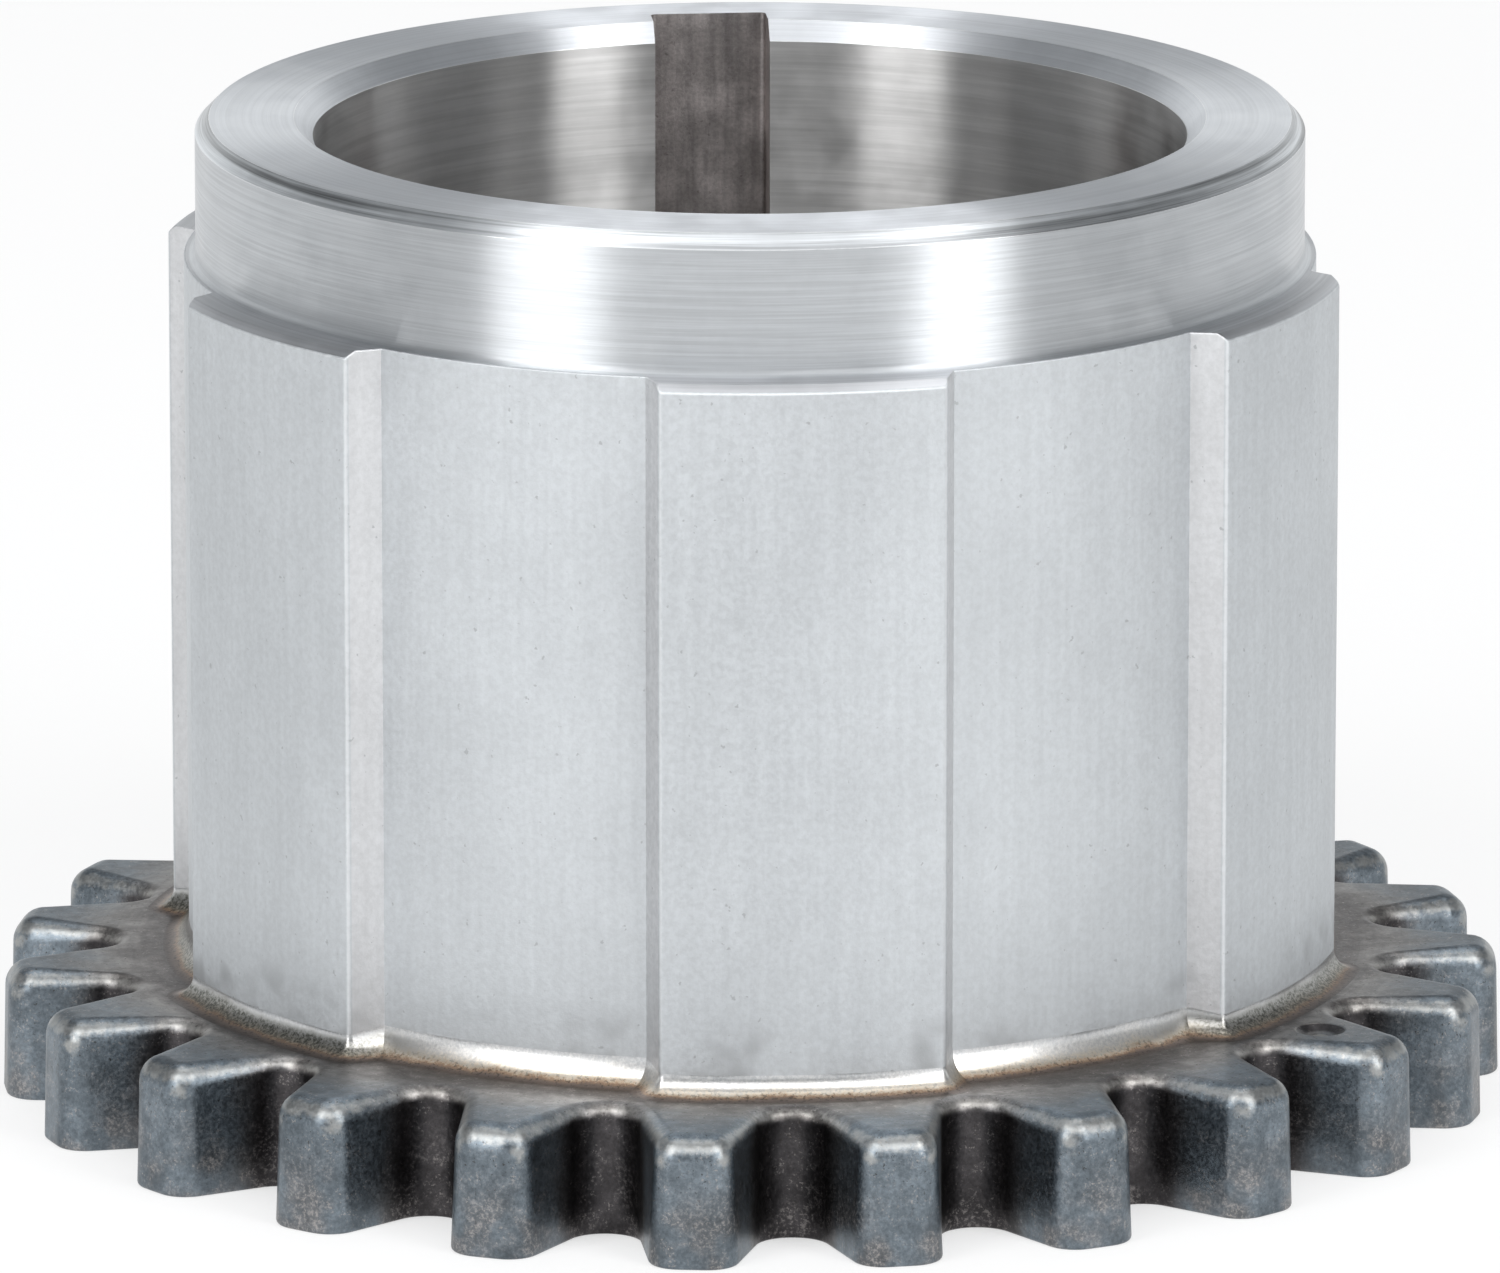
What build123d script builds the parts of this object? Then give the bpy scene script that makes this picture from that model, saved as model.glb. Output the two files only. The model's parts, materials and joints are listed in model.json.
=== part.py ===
from build123d import *
from math import cos, hypot, radians, sin, sqrt, tan
import os

# Crankshaft sprocket: a plain collar, a six-land splined barrel and a toothed rim, turned, broached
# and hobbed from one piece of steel. It stands on its toothed end, with +Z up along the bore. The
# origin is the centre of the bottom face, and the keyway faces +Y.

# Driving dimensions, in millimetres and degrees

# Collar and bore
HEIGHT = 41.7                # bottom face to the top of the collar
BORE_DIAMETER = 37.0
BORE_CHAMFER = 0.8           # at 45 degrees, both ends
COLLAR_DIAMETER = 47.0
COLLAR_LENGTH = 5.9          # shoulder to the top
COLLAR_CHAMFER = 0.6
COLLAR_FOOT_BEVEL = 0.25     # where the collar meets the shoulder

# Keyway, broached through the bore from end to end
KEYWAY_WIDTH = 5.0
KEYWAY_DEPTH = 2.1           # below the bore wall, at the middle of the slot
KEYWAY_CORNER_RADIUS = 0.25

# Splined barrel, with a land on the keyway's side
LAND_COUNT = 6
LAND_DIAMETER = 50.7
GROOVE_DEPTH = 1.35          # from the lands in to the grooves
LAND_WIDTH = 11.9            # across the two walls, at the land diameter
LAND_WALL_ANGLE = 16.0       # each wall leans this far from the land's middle plane
LAND_EDGE_RADIUS = 0.3       # along the outer edges of a land
LAND_TOP_CHAMFER = 0.35
BARREL_FOOT_RADIUS = 1.0     # fillet where the barrel meets the rim

# Toothed rim
TOOTH_COUNT = 23
RIM_THICKNESS = 5.6
ROOT_LEDGE = 1.8             # from the lands out to the bottom of each gap
TOOTH_HEIGHT = 4.9           # from the bottom of each gap out to the tips
GAP_SEAT_RADIUS = 1.5        # arc at the bottom of each gap, in plan
GAP_FLANK_ANGLE = 18.5       # each flank leans this far from the gap's middle plane
TIP_CORNER_RADIUS = 0.7      # where a flank meets the tip, in plan
TIP_BEVEL = 0.7              # turned at 45 degrees, where the top face meets the tips
TOOTH_EDGE_BEVEL = 0.4       # broken edge round the top of every tooth and gap
TOOTH_OFFSET_ANGLE = 1.57    # from the keyway clockwise to the nearest tooth, seen from above

# Timing mark: a shallow round dimple on top of one tooth
MARK_TOOTH = 8               # teeth counted clockwise from the one beside the keyway
MARK_INSET = 1.0             # from the bottom of the gaps out to the middle of the dimple
MARK_DIAMETER = 2.1
MARK_DEPTH = 0.35

# Sizes that follow from them
BORE_RADIUS = BORE_DIAMETER / 2
COLLAR_RADIUS = COLLAR_DIAMETER / 2
LAND_RADIUS = LAND_DIAMETER / 2
GROOVE_RADIUS = LAND_RADIUS - GROOVE_DEPTH
ROOT_RADIUS = LAND_RADIUS + ROOT_LEDGE
TIP_RADIUS = ROOT_RADIUS + TOOTH_HEIGHT
SHOULDER_HEIGHT = HEIGHT - COLLAR_LENGTH
KEYWAY_FLOOR = BORE_RADIUS + KEYWAY_DEPTH
KEYWAY_DIRECTION = 90        # anticlockwise from +X, seen from above
FIRST_TOOTH_DIRECTION = KEYWAY_DIRECTION - TOOTH_OFFSET_ANGLE
TOOTH_PITCH = 360 / TOOTH_COUNT
LAND_PITCH = 360 / LAND_COUNT
CLEAR = 1.0                  # how far each cutter runs past what it cuts
SAME = 1e-4                  # sizes this close are taken as equal


def near(a, b):
    return abs(a - b) < SAME


def radius_of(point):
    return hypot(point.X, point.Y)


def half_section(points):
    """An upright half section, from its (radius, height) corners."""
    return make_face(Polyline(*[(radius, 0, height) for radius, height in points], close=True))


def corners(face, radius, height):
    return [v for v in face.vertices() if near(v.X, radius) and near(v.Z, height)]


def turned_core():
    """The collar and the round core of the barrel, as they leave the lathe."""
    core = half_section(
        [
            (BORE_RADIUS, 0),
            (GROOVE_RADIUS, 0),
            (GROOVE_RADIUS, SHOULDER_HEIGHT),
            (COLLAR_RADIUS, SHOULDER_HEIGHT),
            (COLLAR_RADIUS, HEIGHT),
            (BORE_RADIUS, HEIGHT),
        ]
    )
    core = chamfer(corners(core, COLLAR_RADIUS, SHOULDER_HEIGHT), COLLAR_FOOT_BEVEL)
    core = chamfer(corners(core, COLLAR_RADIUS, HEIGHT), COLLAR_CHAMFER)
    core = chamfer(corners(core, BORE_RADIUS, HEIGHT), BORE_CHAMFER)
    core = chamfer(corners(core, BORE_RADIUS, 0), BORE_CHAMFER)
    return revolve(core, axis=Axis.Z)


def land_wedge():
    """One land in plan, along +X, with its walls run past both circles."""
    outer_edge = sqrt(LAND_RADIUS**2 - (LAND_WIDTH / 2) ** 2)
    inner = BORE_RADIUS + (GROOVE_RADIUS - BORE_RADIUS) / 2
    outer = LAND_RADIUS + CLEAR
    inner_half = LAND_WIDTH / 2 + (outer_edge - inner) * tan(radians(LAND_WALL_ANGLE))
    outer_half = LAND_WIDTH / 2 + (outer_edge - outer) * tan(radians(LAND_WALL_ANGLE))
    return make_face(
        Polyline(
            (inner, -inner_half),
            (outer, -outer_half),
            (outer, outer_half),
            (inner, inner_half),
            close=True,
        )
    )


def lands():
    """The six lands, from inside the rim up to the shoulder."""
    plan = land_wedge() & Circle(LAND_RADIUS) - Circle(BORE_RADIUS)
    edges = [v for v in plan.vertices() if near(radius_of(v), LAND_RADIUS)]
    plan = fillet(edges, LAND_EDGE_RADIUS)
    land = Pos(0, 0, RIM_THICKNESS / 2) * extrude(plan, SHOULDER_HEIGHT - RIM_THICKNESS / 2)
    directions = [KEYWAY_DIRECTION + LAND_PITCH * i for i in range(LAND_COUNT)]
    return [Rot(0, 0, direction) * land for direction in directions]


def land_chamfer_cutter():
    """A ring that bevels the top outer edge of every land."""
    return revolve(
        half_section(
            [
                (LAND_RADIUS - LAND_TOP_CHAMFER - CLEAR, SHOULDER_HEIGHT + CLEAR),
                (LAND_RADIUS + CLEAR, SHOULDER_HEIGHT - LAND_TOP_CHAMFER - CLEAR),
                (LAND_RADIUS + CLEAR, SHOULDER_HEIGHT + CLEAR),
            ]
        ),
        axis=Axis.Z,
    )


def foot_edges(solid):
    """Where the barrel stands on the rim: every edge at the rim's top, out to the land radius."""
    return [
        edge
        for edge in solid.edges()
        if all(near(v.Z, RIM_THICKNESS) for v in edge.vertices())
        and radius_of(edge.center()) < (LAND_RADIUS + ROOT_RADIUS) / 2
    ]


def gap_plan():
    """One tooth gap in plan, along +X: a round seat with a straight flank each side."""
    lean = radians(GAP_FLANK_ANGLE)
    seat_centre = ROOT_RADIUS + GAP_SEAT_RADIUS
    flank_start = seat_centre - GAP_SEAT_RADIUS * sin(lean)
    start_half = GAP_SEAT_RADIUS * cos(lean)
    flank_end = TIP_RADIUS + CLEAR
    end_half = start_half + (flank_end - flank_start) * tan(lean)
    seat = ThreePointArc((flank_start, start_half), (ROOT_RADIUS, 0), (flank_start, -start_half))
    flanks = Polyline(
        (flank_start, -start_half),
        (flank_end, -end_half),
        (flank_end, end_half),
        (flank_start, start_half),
    )
    return make_face(seat + flanks)


def rim_plan():
    """The toothed outline, with the corners of every tip rounded."""
    gap = gap_plan()
    directions = [FIRST_TOOTH_DIRECTION + TOOTH_PITCH * (i + 0.5) for i in range(TOOTH_COUNT)]
    plan = Circle(TIP_RADIUS) - [Rot(0, 0, direction) * gap for direction in directions]
    tip_corners = [v for v in plan.vertices() if near(radius_of(v), TIP_RADIUS)]
    return fillet(tip_corners, TIP_CORNER_RADIUS)


def tip_envelope():
    """The turned shape that the tips stay within, with its top edge bevelled."""
    envelope = half_section(
        [
            (GROOVE_RADIUS, 0),
            (TIP_RADIUS, 0),
            (TIP_RADIUS, RIM_THICKNESS),
            (GROOVE_RADIUS, RIM_THICKNESS),
        ]
    )
    envelope = chamfer(corners(envelope, TIP_RADIUS, RIM_THICKNESS), TIP_BEVEL)
    return revolve(envelope, axis=Axis.Z)


def toothed_rim():
    rim = extrude(rim_plan(), RIM_THICKNESS)
    rim = chamfer(rim.edges().group_by(Axis.Z)[-1], TOOTH_EDGE_BEVEL)
    return rim & tip_envelope()


def keyway_cutter():
    """A flat-bottomed slot along the whole bore, with small corner fillets at its floor."""
    slot = Pos(0, KEYWAY_FLOOR / 2) * Rectangle(KEYWAY_WIDTH, KEYWAY_FLOOR)
    floor = [v for v in slot.vertices() if near(v.Y, KEYWAY_FLOOR)]
    return extrude(fillet(floor, KEYWAY_CORNER_RADIUS), HEIGHT)


def mark_cutter():
    """A ball that leaves the dimple on its tooth."""
    ball_radius = ((MARK_DIAMETER / 2) ** 2 + MARK_DEPTH**2) / (2 * MARK_DEPTH)
    direction = FIRST_TOOTH_DIRECTION - TOOTH_PITCH * MARK_TOOTH
    height = RIM_THICKNESS - MARK_DEPTH + ball_radius
    return Rot(0, 0, direction) * Pos(ROOT_RADIUS + MARK_INSET, 0, height) * Sphere(ball_radius)


def crankshaft_sprocket():
    body = turned_core() + lands() + toothed_rim()
    body = fillet(foot_edges(body), BARREL_FOOT_RADIUS)
    body -= land_chamfer_cutter()
    body -= keyway_cutter()
    body -= mark_cutter()
    return body


os.makedirs("parts", exist_ok=True)
export_step(crankshaft_sprocket(), "parts/crankshaft_sprocket.step")
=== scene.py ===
import json
from math import acos, atan2, cos, pi, radians, sin, sqrt, tan

import bpy
import numpy as np
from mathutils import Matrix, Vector
from mathutils.geometry import delaunay_2d_cdt


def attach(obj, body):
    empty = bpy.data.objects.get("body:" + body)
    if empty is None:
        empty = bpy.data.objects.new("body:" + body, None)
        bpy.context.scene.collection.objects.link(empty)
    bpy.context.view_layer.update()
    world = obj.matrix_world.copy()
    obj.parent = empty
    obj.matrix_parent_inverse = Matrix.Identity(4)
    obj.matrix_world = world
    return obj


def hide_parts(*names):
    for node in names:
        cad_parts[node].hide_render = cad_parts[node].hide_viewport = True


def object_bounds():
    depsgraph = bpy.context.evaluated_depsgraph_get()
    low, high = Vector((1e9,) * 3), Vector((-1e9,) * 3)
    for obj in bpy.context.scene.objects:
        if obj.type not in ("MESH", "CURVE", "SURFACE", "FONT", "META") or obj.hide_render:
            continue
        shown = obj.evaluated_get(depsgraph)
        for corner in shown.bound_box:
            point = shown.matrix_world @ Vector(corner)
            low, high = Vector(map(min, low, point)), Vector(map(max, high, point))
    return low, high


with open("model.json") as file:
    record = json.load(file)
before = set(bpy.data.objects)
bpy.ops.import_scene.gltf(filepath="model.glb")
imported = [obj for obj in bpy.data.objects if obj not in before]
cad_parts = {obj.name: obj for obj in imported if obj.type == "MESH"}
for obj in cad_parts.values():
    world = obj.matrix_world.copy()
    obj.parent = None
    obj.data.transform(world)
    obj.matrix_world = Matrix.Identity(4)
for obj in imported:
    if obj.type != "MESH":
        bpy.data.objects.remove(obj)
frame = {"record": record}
cad_low, cad_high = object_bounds()

# Sizes of the sprocket in millimetres, from the frame where it has them. Angles are in degrees,
# unless radians() turns them.
NODE = "crankshaft_sprocket"
MM = 0.001
mounts = {mount["name"]: mount for mount in frame["record"]["mounts"]}
HEIGHT = cad_high.z / MM
BORE_RADIUS = mounts["bore"]["dims"]["r_mm"]
BORE_CHAMFER = 0.8
COLLAR_RADIUS = mounts["collar"]["dims"]["r_mm"]
COLLAR_LENGTH = 5.9
COLLAR_CHAMFER = 0.6
COLLAR_FOOT = 0.3            # fillet where the collar meets the shoulder
SHOULDER_HEIGHT = HEIGHT - COLLAR_LENGTH
EDGE_BREAK = 0.07            # how far machined edges are rounded
KEYWAY_HALF = 2.5
KEYWAY_DEPTH = 2.1           # below the bore wall
KEYWAY_FLOOR = BORE_RADIUS + KEYWAY_DEPTH
KEYWAY_CORNER = 0.25
KEYWAY_DIRECTION = 90
LAND_COUNT = 6
LAND_RADIUS = 25.35
GROOVE_RADIUS = 24.0
LAND_HALF = 5.95             # half of a land's width, at the land radius
LAND_WALL_ANGLE = radians(16)
LAND_EDGE = 0.3
LAND_CHAMFER = 0.35
CHAMFER_SOFTNESS = 0.05      # how far each way the land chamfer's inner edge is softened
FOOT_WIDTH = 1.0             # the fillet's reach over the rim
FOOT_HEIGHT_AT_LAND = 0.9
FOOT_HEIGHT_AT_GROOVE = 1.2
TINT_BORDER = 0.12           # how far the heat tint goes on over the level rim
RIM_THICKNESS = 5.6
TOOTH_COUNT = 23
TIP_RADIUS = 32.04
ROOT_RADIUS = 27.15
SEAT_RADIUS = 1.5
FLANK_ANGLE = radians(18.5)
TIP_CORNER = 1.34
TIP_ROLL = 1.1               # where the rim's top turns down to the tips
SEAT_ROLL = 0.65             # and to the seats; it grows along the flanks
TOOTH_TAPER = 0.4            # how far the flanks lean in from the foot to the top, near the tips
TIP_UPRIGHT = 0.7            # share of that taper which the tips' outer faces leave out
TOOTH_FOOT_BREAK = 0.15
TOOTH_OFFSET = 1.57          # from the keyway clockwise to the nearest tooth
TOOTH_PITCH = 360 / TOOTH_COUNT
MARK_TOOTH = 8
MARK_PLACE = 28.15           # from the axis to the middle of the timing mark
MARK_RADIUS = 1.05
MARK_DEPTH = 0.35
MARK_SOFTNESS = 0.08         # how far each way the mark's rim is softened
MARK_RIM_CURVE = 2.13        # how fast that rim bends down into the dimple

# What each corner of the mesh tells its material, from 0 to 1
CORNER_WEAR_AND_HIGHLIGHT = 0.25           # how bright the teeth's upright corners are below their tops: partly wear, partly a painted highlight down the middle of each corner
CORNER_WEAR_AND_HIGHLIGHT_POWER = 7        # how late that wear and painted highlight rises to 1 towards the top
SEAT_EDGE_WEAR_AND_HIGHLIGHT = 0.8         # how strong the rolled edge's wear and painted highlight are at the seats; it is 1 at the tips
EDGE_WEAR_AND_HIGHLIGHT_PACE = 1.15        # how many times sooner that wear and painted highlight ends than the roll does
WALL_FOOT_WEAR = 0.75        # how worn the line is where a land's wall meets the groove
FLANK_END_DEPTH = 0.25       # how deep in the gap a flank's outer end counts
TIP_CORNER_DEPTH = 0.2       # and the start of a tip's rounded corner
FILLET_REACH = 0.8           # the tint's reach at the fillet's lower edge; it is 1 at the border
MARK_PAINTED_SHADE_RADII = (0.35, 0.6, 1.0, 1.1)      # the painted shade on the dimple's wall fades in, and out again
MARK_HIGHLIGHT_AND_WEAR_RADII = (0.3, 0.5, 1.0, 1.08)      # the painted highlight in the middle fades out, the rim's wear in
MARK_RIM_WEAR = 0.6          # how worn that rim is

# Points and rows of the mesh
SEAT_POINTS = 11
FLANK_POINTS = 8
TIP_CORNER_POINTS = 9
TIP_POINTS = 4
TOOTH_FOOT_ROWS = 4
TOOTH_ROWS = (0.25, 0.5, 0.75, 0.92)         # as shares of the way from the foot to the roll
TOOTH_ROLL_ROWS = 10
LAND_POINTS = 13
LAND_EDGE_POINTS = 6
WALL_POINTS = 5
GROOVE_POINTS = 13
BARREL_ROWS = 6
FOOT_TURNS = np.linspace(pi / 2, 0, 9)       # round the fillet, from the rim up
BREAK_TURNS = np.linspace(0, pi / 2, 5)      # over the broken edge at the barrel's top
CHAMFER_ROWS = (1, 0.4, 0, -0.4, -1)         # across the chamfer's softened inner edge
CORNER_ROWS = 6                              # of each rounded corner of a turned profile
FINISH_ROW = 2                               # of those, counted from either end: the finish changes
PROFILE_LEAD = 2                             # millimetres from the wall to a profile's two ends
COLLAR_POINTS = 288
BORE_POINTS = 241
SLOT_WALL_POINTS = 4
SLOT_CORNER_POINTS = 5
SLOT_FLOOR_POINTS = 3
MARK_POINTS = 64
MARK_RINGS = (1.13, 1.09, 1.05, 1.0, 0.85, 0.7, 0.5, 0.3, 0.12, 0.0)     # radii in millimetres
WELD_DECIMALS = 4            # points that agree to so many decimals are welded
SAME_PLACE = 1e-6            # points of a flat face closer than this are taken as one
TRIANGLES_INSIDE = 1         # the kind of result asked of the triangulation

UP = np.array([0.0, 0.0, 1.0])
ABOUT_X = np.array([1, -1])      # mirrors plan points about the X axis
ABOUT_Y = np.array([-1, 1])


def turned(points, degrees_round):
    """Plan points turned about the axis."""
    c, s = cos(radians(degrees_round)), sin(radians(degrees_round))
    return points @ np.array([[c, s], [-s, c]])


def polar(radius, angles):
    return radius * np.stack([np.cos(angles), np.sin(angles)], 1)


def mirrored_run(half):
    """The mirror image of half a run about the X axis, and then the half itself."""
    return np.concatenate([half[:0:-1] * ABOUT_X, half])


def raised(plan, height):
    """Plan points at one height, or each at its own."""
    return np.column_stack([plan, np.broadcast_to(height, len(plan))])


def level_normals(outward):
    return np.column_stack([outward, np.zeros(len(outward))])


def unit(vectors):
    return vectors / np.linalg.norm(vectors, axis=-1, keepdims=True)


def way_to_circle(start, along, radius):
    """How far along a unit direction from a point the line leaves a circle about the axis. It is
    below zero where that lies behind the point."""
    b = start @ along
    return -b + sqrt(b * b - start @ start + radius**2)


class Skin:
    """Gathers patches with their own normals, and welds them into one closed mesh. Each corner
    also carries two marks from 0 to 1. Wear is how worn its edge is; on the teeth it is partly
    a painted highlight, and in the middle of the timing mark it is only a painted highlight.
    Gap is how deep it lies in a tooth gap, which the rim's material turns into painted shade,
    and on other patches how far out it is on the barrel's foot, whether it is on a land's wall,
    and whether it is on the timing mark's ring of painted shade."""

    def __init__(self):
        self.points = []
        self.normals = []
        self.marks = []
        self.faces = []
        self.finishes = []
        self.count = 0

    def add(self, points, normals, marks, faces, finish):
        self.points.append(points)
        self.normals.append(unit(normals))
        self.marks.append(marks)
        self.faces += [[corner + self.count for corner in face] for face in faces]
        self.finishes += [finish] * len(faces)
        self.count += len(points)

    def patch(self, points, normals, finish, closed=False, wear=0.0, gap=0.0):
        """A grid of quads over rows of points, outward when the rows run round and then up."""
        points, normals = np.asarray(points, float), np.asarray(normals, float)
        rows, columns = points.shape[:2]
        marks = np.zeros((rows, columns, 2))
        marks[..., 0], marks[..., 1] = wear, gap
        faces = []
        for i in range(rows - 1):
            for j in range(columns if closed else columns - 1):
                k = (j + 1) % columns
                faces.append(
                    [i * columns + j, i * columns + k, (i + 1) * columns + k, (i + 1) * columns + j]
                )
        self.add(
            points.reshape(-1, 3), normals.reshape(-1, 3), marks.reshape(-1, 2), faces, finish
        )

    def flat(self, loops, height, finish, upward=True):
        """A level face inside the first loop and outside the others."""
        plan = np.concatenate(loops)
        ends = np.cumsum([len(loop) for loop in loops])
        rings = [list(range(end - len(loop), end)) for loop, end in zip(loops, ends)]
        corners = [Vector(point) for point in plan]
        _, _, triangles, own_corners, _, own_rings = delaunay_2d_cdt(
            corners, [], rings, TRIANGLES_INSIDE, SAME_PLACE
        )
        faces = []
        for triangle, inside in zip(triangles, own_rings):
            if inside == [0]:
                a, b, c = (own_corners[corner][0] for corner in triangle)
                faces.append([a, b, c] if upward else [a, c, b])
        normals = np.tile(UP if upward else -UP, (len(plan), 1))
        self.add(raised(plan, height), normals, np.zeros((len(plan), 2)), faces, finish)

    def mesh(self, name, finishes):
        points = np.concatenate(self.points)
        normals = np.concatenate(self.normals)
        marks = np.concatenate(self.marks)
        rounded = points.round(WELD_DECIMALS)
        _, first, same = np.unique(rounded, axis=0, return_index=True, return_inverse=True)
        same = same.ravel()
        faces, corners, indices = [], [], []
        for face, finish in zip(self.faces, self.finishes):
            kept = [c for n, c in enumerate(face) if same[c] != same[face[n - 1]]]
            if len(kept) > 2:
                faces.append([int(same[c]) for c in kept])
                corners += kept
                indices.append(finishes.index(finish))
        mesh = bpy.data.meshes.new(name)
        mesh.from_pydata(points[first] * MM, [], faces)
        mesh.polygons.foreach_set("material_index", indices)
        mesh.polygons.foreach_set("use_smooth", [True] * len(faces))
        for column, mark in enumerate(("wear", "gap")):
            attribute = mesh.attributes.new(mark, "FLOAT", "CORNER")
            attribute.data.foreach_set("value", marks[corners, column].astype(np.float32))
        mesh.normals_split_custom_set(normals[corners])
        return mesh


# The toothed outline

def gap_half():
    """Half of one gap and of the tooth beside it, with the gap along +X: points, outward normals,
    how far each point stands on a rounded tip corner, and how deep it lies in the gap."""
    seat_turn = np.linspace(pi, pi / 2 + FLANK_ANGLE, SEAT_POINTS)
    seat = polar(SEAT_RADIUS, seat_turn) + [ROOT_RADIUS + SEAT_RADIUS, 0]
    along = np.array([cos(FLANK_ANGLE), sin(FLANK_ANGLE)])
    to_tooth = np.array([-sin(FLANK_ANGLE), cos(FLANK_ANGLE)])
    start = seat[-1] + TIP_CORNER * to_tooth
    length = way_to_circle(start, along, TIP_RADIUS - TIP_CORNER)
    flank = seat[-1] + np.linspace(0, length, FLANK_POINTS + 1)[1:, None] * along
    corner_centre = start + length * along
    leave = atan2(corner_centre[1], corner_centre[0])
    corner_turn = np.linspace(FLANK_ANGLE - pi / 2, leave, TIP_CORNER_POINTS + 1)[1:]
    corner = corner_centre + polar(TIP_CORNER, corner_turn)
    tip_turn = np.linspace(leave, radians(TOOTH_PITCH / 2), TIP_POINTS + 1)[1:]
    points = np.concatenate([seat, flank, corner, polar(TIP_RADIUS, tip_turn)])
    normals = np.concatenate(
        [
            -polar(1, seat_turn),
            np.tile(-to_tooth, (FLANK_POINTS, 1)),
            polar(1, corner_turn),
            polar(1, tip_turn),
        ]
    )
    on_corner = np.sin(np.linspace(0, pi, TIP_CORNER_POINTS + 1)[1:])
    corner_share = np.concatenate(
        [np.zeros(SEAT_POINTS + FLANK_POINTS), on_corner, np.zeros(TIP_POINTS)]
    )
    depth = np.concatenate(
        [
            np.ones(SEAT_POINTS),
            np.linspace(1, FLANK_END_DEPTH, FLANK_POINTS + 1)[1:],
            np.linspace(TIP_CORNER_DEPTH, 0, TIP_CORNER_POINTS),
            np.zeros(TIP_POINTS),
        ]
    )
    return points, normals, np.stack([corner_share, depth], 1)


def toothed_outline():
    """The whole outline, once round: points, outward normals, and the two shares of gap_half."""
    points, normals, marks = gap_half()
    points, normals = mirrored_run(points)[1:], mirrored_run(normals)[1:]
    marks = np.concatenate([marks[:0:-1], marks])[1:]
    first = KEYWAY_DIRECTION - TOOTH_OFFSET + TOOTH_PITCH / 2
    directions = [first + TOOTH_PITCH * i for i in range(TOOTH_COUNT)]
    return (
        np.concatenate([turned(points, direction) for direction in directions]),
        np.concatenate([turned(normals, direction) for direction in directions]),
        *np.tile(marks.T, TOOTH_COUNT),
    )


def add_teeth(skin):
    """The toothed wall of the rim, from the broken edge at its foot to the roll at its top. Gives
    the outlines at its foot and top."""
    outline, outward, corner_share, gap_share = toothed_outline()
    level = level_normals(outward)
    tip_share = 1 - gap_share
    roll = SEAT_ROLL + (TIP_ROLL - SEAT_ROLL) * tip_share
    facing = np.sum(outward * unit(outline), axis=1)
    taper = TOOTH_TAPER * tip_share * (1 - TIP_UPRIGHT * np.clip(facing, 0, 1))
    lean = np.arctan(taper / RIM_THICKNESS)
    rows, normals, wear = [], [], []

    def add_row(inset, height, tilt, worn):
        rows.append(raised(outline - outward * np.reshape(inset, (-1, 1)), height))
        normals.append(level * np.cos(tilt)[:, None] + UP * np.sin(tilt)[:, None])
        wear.append(worn * np.ones(len(outline)))

    for turn in np.linspace(-1, 0, TOOTH_FOOT_ROWS):
        tilt = turn * pi / 2 + lean * (1 + turn)
        inset = TOOTH_FOOT_BREAK * (1 - np.cos(tilt))
        add_row(inset, TOOTH_FOOT_BREAK * (1 + np.sin(tilt)), tilt, corner_share * CORNER_WEAR_AND_HIGHLIGHT)
    roll_start = RIM_THICKNESS - roll * (1 - np.sin(lean))
    for share in TOOTH_ROWS:
        height = TOOTH_FOOT_BREAK + (roll_start - TOOTH_FOOT_BREAK) * share
        # The upright corners' mark is partly wear, partly a painted highlight down the middle of
        # each rounded tip corner.
        worn = corner_share * (CORNER_WEAR_AND_HIGHLIGHT + (1 - CORNER_WEAR_AND_HIGHLIGHT) * share**CORNER_WEAR_AND_HIGHLIGHT_POWER)
        add_row(height * np.tan(lean), height, lean, worn)
    for share in np.linspace(0, 1, TOOTH_ROLL_ROWS):
        tilt = lean + (pi / 2 - lean) * share
        inset = roll_start * np.tan(lean) + roll * (np.cos(lean) - np.cos(tilt))
        # The rolled edge's mark peaks part way round the roll, where a highlight falls: partly wear,
        # partly a painted highlight.
        edge = sin(pi * min(share * EDGE_WEAR_AND_HIGHLIGHT_PACE, 1))
        rubbed = edge * (SEAT_EDGE_WEAR_AND_HIGHLIGHT + (1 - SEAT_EDGE_WEAR_AND_HIGHLIGHT) * tip_share)
        worn = np.maximum(rubbed, corner_share * (1 - share))
        add_row(inset, RIM_THICKNESS - roll * (1 - np.sin(tilt)), tilt, worn)
    upright = np.ones(TOOTH_FOOT_ROWS + len(TOOTH_ROWS))
    fade = np.concatenate([upright, np.linspace(1, 0, TOOTH_ROLL_ROWS)])
    skin.patch(
        rows, normals, "teeth", closed=True, wear=np.array(wear), gap=fade[:, None] * gap_share
    )
    return rows[0][:, :2], rows[-1][:, :2]


# The splined barrel

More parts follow.
